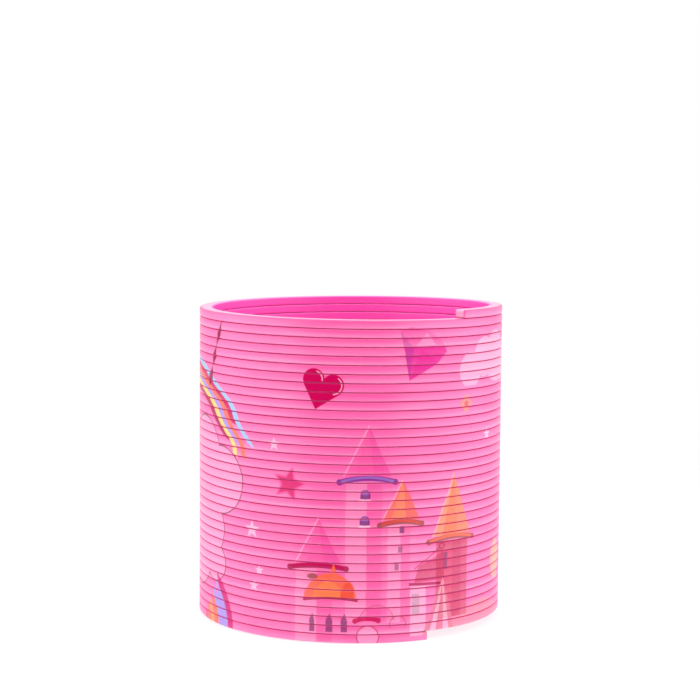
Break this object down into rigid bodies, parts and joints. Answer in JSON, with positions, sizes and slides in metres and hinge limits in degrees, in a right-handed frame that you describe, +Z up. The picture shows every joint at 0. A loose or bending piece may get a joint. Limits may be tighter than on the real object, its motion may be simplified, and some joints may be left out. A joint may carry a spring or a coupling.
{
  "type": "spring coil toy",
  "caption": "Closed coil toy of one flat plastic strip wound into a helix, which opens, stretches and arches into a rainbow.",
  "frame": {"origin": "on the coil's axis at table level, under its lowest point", "axes": "+Z up along the coil's axis, -Y towards the printed front, +X to the right of the front"},
  "size_m": [0.055, 0.055, 0.0571],
  "materials": {
    "pink_plastic": "translucent glossy hot pink, printed on the outer edge"
  },
  "bodies": {
    "bottom_stack": {"bottom_end": "pink_plastic", "bottom_turn_1": "pink_plastic", "bottom_turn_2": "pink_plastic", "bottom_turn_3": "pink_plastic", "bottom_turn_4": "pink_plastic", "bottom_turn_5": "pink_plastic"},
    "turn_01_back": {"turn_01_back": "pink_plastic"},
    "turn_01_front": {"turn_01_front": "pink_plastic"},
    "turn_02_back": {"turn_02_back": "pink_plastic"},
    "turn_02_front": {"turn_02_front": "pink_plastic"},
    "turn_03_back": {"turn_03_back": "pink_plastic"},
    "turn_03_front": {"turn_03_front": "pink_plastic"},
    "turn_04_back": {"turn_04_back": "pink_plastic"},
    "turn_04_front": {"turn_04_front": "pink_plastic"},
    "turn_05_back": {"turn_05_back": "pink_plastic"},
    "turn_05_front": {"turn_05_front": "pink_plastic"},
    "turn_06_back": {"turn_06_back": "pink_plastic"},
    "turn_06_front": {"turn_06_front": "pink_plastic"},
    "turn_07_back": {"turn_07_back": "pink_plastic"},
    "turn_07_front": {"turn_07_front": "pink_plastic"},
    "turn_08_back": {"turn_08_back": "pink_plastic"},
    "turn_08_front": {"turn_08_front": "pink_plastic"},
    "turn_09_back": {"turn_09_back": "pink_plastic"},
    "turn_09_front": {"turn_09_front": "pink_plastic"},
    "turn_10_back": {"turn_10_back": "pink_plastic"},
    "turn_10_front": {"turn_10_front": "pink_plastic"},
    "turn_11_back": {"turn_11_back": "pink_plastic"},
    "turn_11_front": {"turn_11_front": "pink_plastic"},
    "turn_12_back": {"turn_12_back": "pink_plastic"},
    "turn_12_front": {"turn_12_front": "pink_plastic"},
    "turn_13_back": {"turn_13_back": "pink_plastic"},
    "turn_13_front": {"turn_13_front": "pink_plastic"},
    "turn_14_back": {"turn_14_back": "pink_plastic"},
    "turn_14_front": {"turn_14_front": "pink_plastic"},
    "turn_15_back": {"turn_15_back": "pink_plastic"},
    "turn_15_front": {"turn_15_front": "pink_plastic"},
    "turn_16_back": {"turn_16_back": "pink_plastic"},
    "turn_16_front": {"turn_16_front": "pink_plastic"},
    "turn_17_back": {"turn_17_back": "pink_plastic"},
    "turn_17_front": {"turn_17_front": "pink_plastic"},
    "turn_18_back": {"turn_18_back": "pink_plastic"},
    "turn_18_front": {"turn_18_front": "pink_plastic"},
    "turn_19_back": {"turn_19_back": "pink_plastic"},
    "turn_19_front": {"turn_19_front": "pink_plastic"},
    "turn_20_back": {"turn_20_back": "pink_plastic"},
    "turn_20_front": {"turn_20_front": "pink_plastic"},
    "turn_21_back": {"turn_21_back": "pink_plastic"},
    "turn_21_front": {"turn_21_front": "pink_plastic"},
    "turn_22_back": {"turn_22_back": "pink_plastic"},
    "turn_22_front": {"turn_22_front": "pink_plastic"},
    "turn_23_back": {"turn_23_back": "pink_plastic"},
    "turn_23_front": {"turn_23_front": "pink_plastic"},
    "turn_24_back": {"turn_24_back": "pink_plastic"},
    "top_stack": {"top_turn_1": "pink_plastic", "top_turn_2": "pink_plastic", "top_turn_3": "pink_plastic", "top_turn_4": "pink_plastic", "top_turn_5": "pink_plastic", "top_end": "pink_plastic"}
  },
  "joints": [
    {"name": "left_seam_01", "type": "hinge", "parent": "bottom_stack", "child": "turn_01_back", "pos_m": [-0.0275, 0, 0.01045], "axis": [0, -1, 0], "range_deg": [0, 3.83], "stiffness_Nm_per_rad": 0.015},
    {"name": "open_left_side", "type": "hinge", "parent": "turn_01_back", "child": "turn_01_front", "pos_m": [0.0275, 0, 0.01122], "axis": [0, 1, 0], "range_deg": [0, 7.66], "stiffness_Nm_per_rad": 0.015},
    {"name": "open_right_side", "type": "hinge", "parent": "turn_01_front", "child": "turn_02_back", "pos_m": [-0.0275, 0, 0.01199], "axis": [0, -1, 0], "range_deg": [0, 7.66], "stiffness_Nm_per_rad": 0.015},
    {"name": "right_seam_02", "type": "hinge", "parent": "turn_02_back", "child": "turn_02_front", "pos_m": [0.0275, 0, 0.01276], "axis": [0, 1, 0], "range_deg": [0, 7.66], "stiffness_Nm_per_rad": 0.015},
    {"name": "left_seam_03", "type": "hinge", "parent": "turn_02_front", "child": "turn_03_back", "pos_m": [-0.0275, 0, 0.01353], "axis": [0, -1, 0], "range_deg": [0, 7.66], "stiffness_Nm_per_rad": 0.015},
    {"name": "right_seam_03", "type": "hinge", "parent": "turn_03_back", "child": "turn_03_front", "pos_m": [0.0275, 0, 0.0143], "axis": [0, 1, 0], "range_deg": [0, 7.66], "stiffness_Nm_per_rad": 0.015},
    {"name": "left_seam_04", "type": "hinge", "parent": "turn_03_front", "child": "turn_04_back", "pos_m": [-0.0275, 0, 0.01507], "axis": [0, -1, 0], "range_deg": [0, 7.66], "stiffness_Nm_per_rad": 0.015},
    {"name": "right_seam_04", "type": "hinge", "parent": "turn_04_back", "child": "turn_04_front", "pos_m": [0.0275, 0, 0.01584], "axis": [0, 1, 0], "range_deg": [0, 7.66], "stiffness_Nm_per_rad": 0.015},
    {"name": "left_seam_05", "type": "hinge", "parent": "turn_04_front", "child": "turn_05_back", "pos_m": [-0.0275, 0, 0.01661], "axis": [0, -1, 0], "range_deg": [0, 7.66], "stiffness_Nm_per_rad": 0.015},
    {"name": "right_seam_05", "type": "hinge", "parent": "turn_05_back", "child": "turn_05_front", "pos_m": [0.0275, 0, 0.01738], "axis": [0, 1, 0], "range_deg": [0, 7.66], "stiffness_Nm_per_rad": 0.015},
    {"name": "left_seam_06", "type": "hinge", "parent": "turn_05_front", "child": "turn_06_back", "pos_m": [-0.0275, 0, 0.01815], "axis": [0, -1, 0], "range_deg": [0, 7.66], "stiffness_Nm_per_rad": 0.015},
    {"name": "right_seam_06", "type": "hinge", "parent": "turn_06_back", "child": "turn_06_front", "pos_m": [0.0275, 0, 0.01892], "axis": [0, 1, 0], "range_deg": [0, 7.66], "stiffness_Nm_per_rad": 0.015},
    {"name": "left_seam_07", "type": "hinge", "parent": "turn_06_front", "child": "turn_07_back", "pos_m": [-0.0275, 0, 0.01969], "axis": [0, -1, 0], "range_deg": [0, 7.66], "stiffness_Nm_per_rad": 0.015},
    {"name": "right_seam_07", "type": "hinge", "parent": "turn_07_back", "child": "turn_07_front", "pos_m": [0.0275, 0, 0.02046], "axis": [0, 1, 0], "range_deg": [0, 7.66], "stiffness_Nm_per_rad": 0.015},
    {"name": "left_seam_08", "type": "hinge", "parent": "turn_07_front", "child": "turn_08_back", "pos_m": [-0.0275, 0, 0.02123], "axis": [0, -1, 0], "range_deg": [0, 7.66], "stiffness_Nm_per_rad": 0.015},
    {"name": "right_seam_08", "type": "hinge", "parent": "turn_08_back", "child": "turn_08_front", "pos_m": [0.0275, 0, 0.022], "axis": [0, 1, 0], "range_deg": [0, 7.66], "stiffness_Nm_per_rad": 0.015},
    {"name": "left_seam_09", "type": "hinge", "parent": "turn_08_front", "child": "turn_09_back", "pos_m": [-0.0275, 0, 0.02277], "axis": [0, -1, 0], "range_deg": [0, 7.66], "stiffness_Nm_per_rad": 0.015},
    {"name": "right_seam_09", "type": "hinge", "parent": "turn_09_back", "child": "turn_09_front", "pos_m": [0.0275, 0, 0.02354], "axis": [0, 1, 0], "range_deg": [0, 7.66], "stiffness_Nm_per_rad": 0.015},
    {"name": "left_seam_10", "type": "hinge", "parent": "turn_09_front", "child": "turn_10_back", "pos_m": [-0.0275, 0, 0.02431], "axis": [0, -1, 0], "range_deg": [0, 7.66], "stiffness_Nm_per_rad": 0.015},
    {"name": "right_seam_10", "type": "hinge", "parent": "turn_10_back", "child": "turn_10_front", "pos_m": [0.0275, 0, 0.02508], "axis": [0, 1, 0], "range_deg": [0, 7.66], "stiffness_Nm_per_rad": 0.015},
    {"name": "left_seam_11", "type": "hinge", "parent": "turn_10_front", "child": "turn_11_back", "pos_m": [-0.0275, 0, 0.02585], "axis": [0, -1, 0], "range_deg": [0, 7.66], "stiffness_Nm_per_rad": 0.015},
    {"name": "right_seam_11", "type": "hinge", "parent": "turn_11_back", "child": "turn_11_front", "pos_m": [0.0275, 0, 0.02662], "axis": [0, 1, 0], "range_deg": [0, 7.66], "stiffness_Nm_per_rad": 0.015},
    {"name": "left_seam_12", "type": "hinge", "parent": "turn_11_front", "child": "turn_12_back", "pos_m": [-0.0275, 0, 0.02739], "axis": [0, -1, 0], "range_deg": [0, 7.66], "stiffness_Nm_per_rad": 0.015},
    {"name": "right_seam_12", "type": "hinge", "parent": "turn_12_back", "child": "turn_12_front", "pos_m": [0.0275, 0, 0.02816], "axis": [0, 1, 0], "range_deg": [0, 7.66], "stiffness_Nm_per_rad": 0.015},
    {"name": "left_seam_13", "type": "hinge", "parent": "turn_12_front", "child": "turn_13_back", "pos_m": [-0.0275, 0, 0.02893], "axis": [0, -1, 0], "range_deg": [0, 7.66], "stiffness_Nm_per_rad": 0.015},
    {"name": "right_seam_13", "type": "hinge", "parent": "turn_13_back", "child": "turn_13_front", "pos_m": [0.0275, 0, 0.0297], "axis": [0, 1, 0], "range_deg": [0, 7.66], "stiffness_Nm_per_rad": 0.015},
    {"name": "left_seam_14", "type": "hinge", "parent": "turn_13_front", "child": "turn_14_back", "pos_m": [-0.0275, 0, 0.03047], "axis": [0, -1, 0], "range_deg": [0, 7.66], "stiffness_Nm_per_rad": 0.015},
    {"name": "right_seam_14", "type": "hinge", "parent": "turn_14_back", "child": "turn_14_front", "pos_m": [0.0275, 0, 0.03124], "axis": [0, 1, 0], "range_deg": [0, 7.66], "stiffness_Nm_per_rad": 0.015},
    {"name": "left_seam_15", "type": "hinge", "parent": "turn_14_front", "child": "turn_15_back", "pos_m": [-0.0275, 0, 0.03201], "axis": [0, -1, 0], "range_deg": [0, 7.66], "stiffness_Nm_per_rad": 0.015},
    {"name": "right_seam_15", "type": "hinge", "parent": "turn_15_back", "child": "turn_15_front", "pos_m": [0.0275, 0, 0.03278], "axis": [0, 1, 0], "range_deg": [0, 7.66], "stiffness_Nm_per_rad": 0.015},
    {"name": "left_seam_16", "type": "hinge", "parent": "turn_15_front", "child": "turn_16_back", "pos_m": [-0.0275, 0, 0.03355], "axis": [0, -1, 0], "range_deg": [0, 7.66], "stiffness_Nm_per_rad": 0.015},
    {"name": "right_seam_16", "type": "hinge", "parent": "turn_16_back", "child": "turn_16_front", "pos_m": [0.0275, 0, 0.03432], "axis": [0, 1, 0], "range_deg": [0, 7.66], "stiffness_Nm_per_rad": 0.015},
    {"name": "left_seam_17", "type": "hinge", "parent": "turn_16_front", "child": "turn_17_back", "pos_m": [-0.0275, 0, 0.03509], "axis": [0, -1, 0], "range_deg": [0, 7.66], "stiffness_Nm_per_rad": 0.015},
    {"name": "right_seam_17", "type": "hinge", "parent": "turn_17_back", "child": "turn_17_front", "pos_m": [0.0275, 0, 0.03586], "axis": [0, 1, 0], "range_deg": [0, 7.66], "stiffness_Nm_per_rad": 0.015},
    {"name": "left_seam_18", "type": "hinge", "parent": "turn_17_front", "child": "turn_18_back", "pos_m": [-0.0275, 0, 0.03663], "axis": [0, -1, 0], "range_deg": [0, 7.66], "stiffness_Nm_per_rad": 0.015},
    {"name": "right_seam_18", "type": "hinge", "parent": "turn_18_back", "child": "turn_18_front", "pos_m": [0.0275, 0, 0.0374], "axis": [0, 1, 0], "range_deg": [0, 7.66], "stiffness_Nm_per_rad": 0.015},
    {"name": "left_seam_19", "type": "hinge", "parent": "turn_18_front", "child": "turn_19_back", "pos_m": [-0.0275, 0, 0.03817], "axis": [0, -1, 0], "range_deg": [0, 7.66], "stiffness_Nm_per_rad": 0.015},
    {"name": "right_seam_19", "type": "hinge", "parent": "turn_19_back", "child": "turn_19_front", "pos_m": [0.0275, 0, 0.03894], "axis": [0, 1, 0], "range_deg": [0, 7.66], "stiffness_Nm_per_rad": 0.015},
    {"name": "left_seam_20", "type": "hinge", "parent": "turn_19_front", "child": "turn_20_back", "pos_m": [-0.0275, 0, 0.03971], "axis": [0, -1, 0], "range_deg": [0, 7.66], "stiffness_Nm_per_rad": 0.015},
    {"name": "right_seam_20", "type": "hinge", "parent": "turn_20_back", "child": "turn_20_front", "pos_m": [0.0275, 0, 0.04048], "axis": [0, 1, 0], "range_deg": [0, 7.66], "stiffness_Nm_per_rad": 0.015},
    {"name": "left_seam_21", "type": "hinge", "parent": "turn_20_front", "child": "turn_21_back", "pos_m": [-0.0275, 0, 0.04125], "axis": [0, -1, 0], "range_deg": [0, 7.66], "stiffness_Nm_per_rad": 0.015},
    {"name": "right_seam_21", "type": "hinge", "parent": "turn_21_back", "child": "turn_21_front", "pos_m": [0.0275, 0, 0.04202], "axis": [0, 1, 0], "range_deg": [0, 7.66], "stiffness_Nm_per_rad": 0.015},
    {"name": "left_seam_22", "type": "hinge", "parent": "turn_21_front", "child": "turn_22_back", "pos_m": [-0.0275, 0, 0.04279], "axis": [0, -1, 0], "range_deg": [0, 7.66], "stiffness_Nm_per_rad": 0.015},
    {"name": "right_seam_22", "type": "hinge", "parent": "turn_22_back", "child": "turn_22_front", "pos_m": [0.0275, 0, 0.04356], "axis": [0, 1, 0], "range_deg": [0, 7.66], "stiffness_Nm_per_rad": 0.015},
    {"name": "left_seam_23", "type": "hinge", "parent": "turn_22_front", "child": "turn_23_back", "pos_m": [-0.0275, 0, 0.04433], "axis": [0, -1, 0], "range_deg": [0, 7.66], "stiffness_Nm_per_rad": 0.015},
    {"name": "right_seam_23", "type": "hinge", "parent": "turn_23_back", "child": "turn_23_front", "pos_m": [0.0275, 0, 0.0451], "axis": [0, 1, 0], "range_deg": [0, 7.66], "stiffness_Nm_per_rad": 0.015},
    {"name": "left_seam_24", "type": "hinge", "parent": "turn_23_front", "child": "turn_24_back", "pos_m": [-0.0275, 0, 0.04587], "axis": [0, -1, 0], "range_deg": [0, 7.66], "stiffness_Nm_per_rad": 0.015},
    {"name": "right_seam_24", "type": "hinge", "parent": "turn_24_back", "child": "top_stack", "pos_m": [0.0275, 0, 0.04664], "axis": [0, 1, 0], "range_deg": [0, 3.83], "stiffness_Nm_per_rad": 0.015}
  ],
  "couplings": [
    {"joint": "left_seam_01", "follows": "open_right_side", "ratio": 0.5},
    {"joint": "right_seam_02", "follows": "open_left_side", "ratio": 1},
    {"joint": "left_seam_03", "follows": "open_right_side", "ratio": 1},
    {"joint": "right_seam_03", "follows": "open_left_side", "ratio": 1},
    {"joint": "left_seam_04", "follows": "open_right_side", "ratio": 1},
    {"joint": "right_seam_04", "follows": "open_left_side", "ratio": 1},
    {"joint": "left_seam_05", "follows": "open_right_side", "ratio": 1},
    {"joint": "right_seam_05", "follows": "open_left_side", "ratio": 1},
    {"joint": "left_seam_06", "follows": "open_right_side", "ratio": 1},
    {"joint": "right_seam_06", "follows": "open_left_side", "ratio": 1},
    {"joint": "left_seam_07", "follows": "open_right_side", "ratio": 1},
    {"joint": "right_seam_07", "follows": "open_left_side", "ratio": 1},
    {"joint": "left_seam_08", "follows": "open_right_side", "ratio": 1},
    {"joint": "right_seam_08", "follows": "open_left_side", "ratio": 1},
    {"joint": "left_seam_09", "follows": "open_right_side", "ratio": 1},
    {"joint": "right_seam_09", "follows": "open_left_side", "ratio": 1},
    {"joint": "left_seam_10", "follows": "open_right_side", "ratio": 1},
    {"joint": "right_seam_10", "follows": "open_left_side", "ratio": 1},
    {"joint": "left_seam_11", "follows": "open_right_side", "ratio": 1},
    {"joint": "right_seam_11", "follows": "open_left_side", "ratio": 1},
    {"joint": "left_seam_12", "follows": "open_right_side", "ratio": 1},
    {"joint": "right_seam_12", "follows": "open_left_side", "ratio": 1},
    {"joint": "left_seam_13", "follows": "open_right_side", "ratio": 1},
    {"joint": "right_seam_13", "follows": "open_left_side", "ratio": 1},
    {"joint": "left_seam_14", "follows": "open_right_side", "ratio": 1},
    {"joint": "right_seam_14", "follows": "open_left_side", "ratio": 1},
    {"joint": "left_seam_15", "follows": "open_right_side", "ratio": 1},
    {"joint": "right_seam_15", "follows": "open_left_side", "ratio": 1},
    {"joint": "left_seam_16", "follows": "open_right_side", "ratio": 1},
    {"joint": "right_seam_16", "follows": "open_left_side", "ratio": 1},
    {"joint": "left_seam_17", "follows": "open_right_side", "ratio": 1},
    {"joint": "right_seam_17", "follows": "open_left_side", "ratio": 1},
    {"joint": "left_seam_18", "follows": "open_right_side", "ratio": 1},
    {"joint": "right_seam_18", "follows": "open_left_side", "ratio": 1},
    {"joint": "left_seam_19", "follows": "open_right_side", "ratio": 1},
    {"joint": "right_seam_19", "follows": "open_left_side", "ratio": 1},
    {"joint": "left_seam_20", "follows": "open_right_side", "ratio": 1},
    {"joint": "right_seam_20", "follows": "open_left_side", "ratio": 1},
    {"joint": "left_seam_21", "follows": "open_right_side", "ratio": 1},
    {"joint": "right_seam_21", "follows": "open_left_side", "ratio": 1},
    {"joint": "left_seam_22", "follows": "open_right_side", "ratio": 1},
    {"joint": "right_seam_22", "follows": "open_left_side", "ratio": 1},
    {"joint": "left_seam_23", "follows": "open_right_side", "ratio": 1},
    {"joint": "right_seam_23", "follows": "open_left_side", "ratio": 1},
    {"joint": "left_seam_24", "follows": "open_right_side", "ratio": 1},
    {"joint": "right_seam_24", "follows": "open_left_side", "ratio": 0.5}
  ]
}
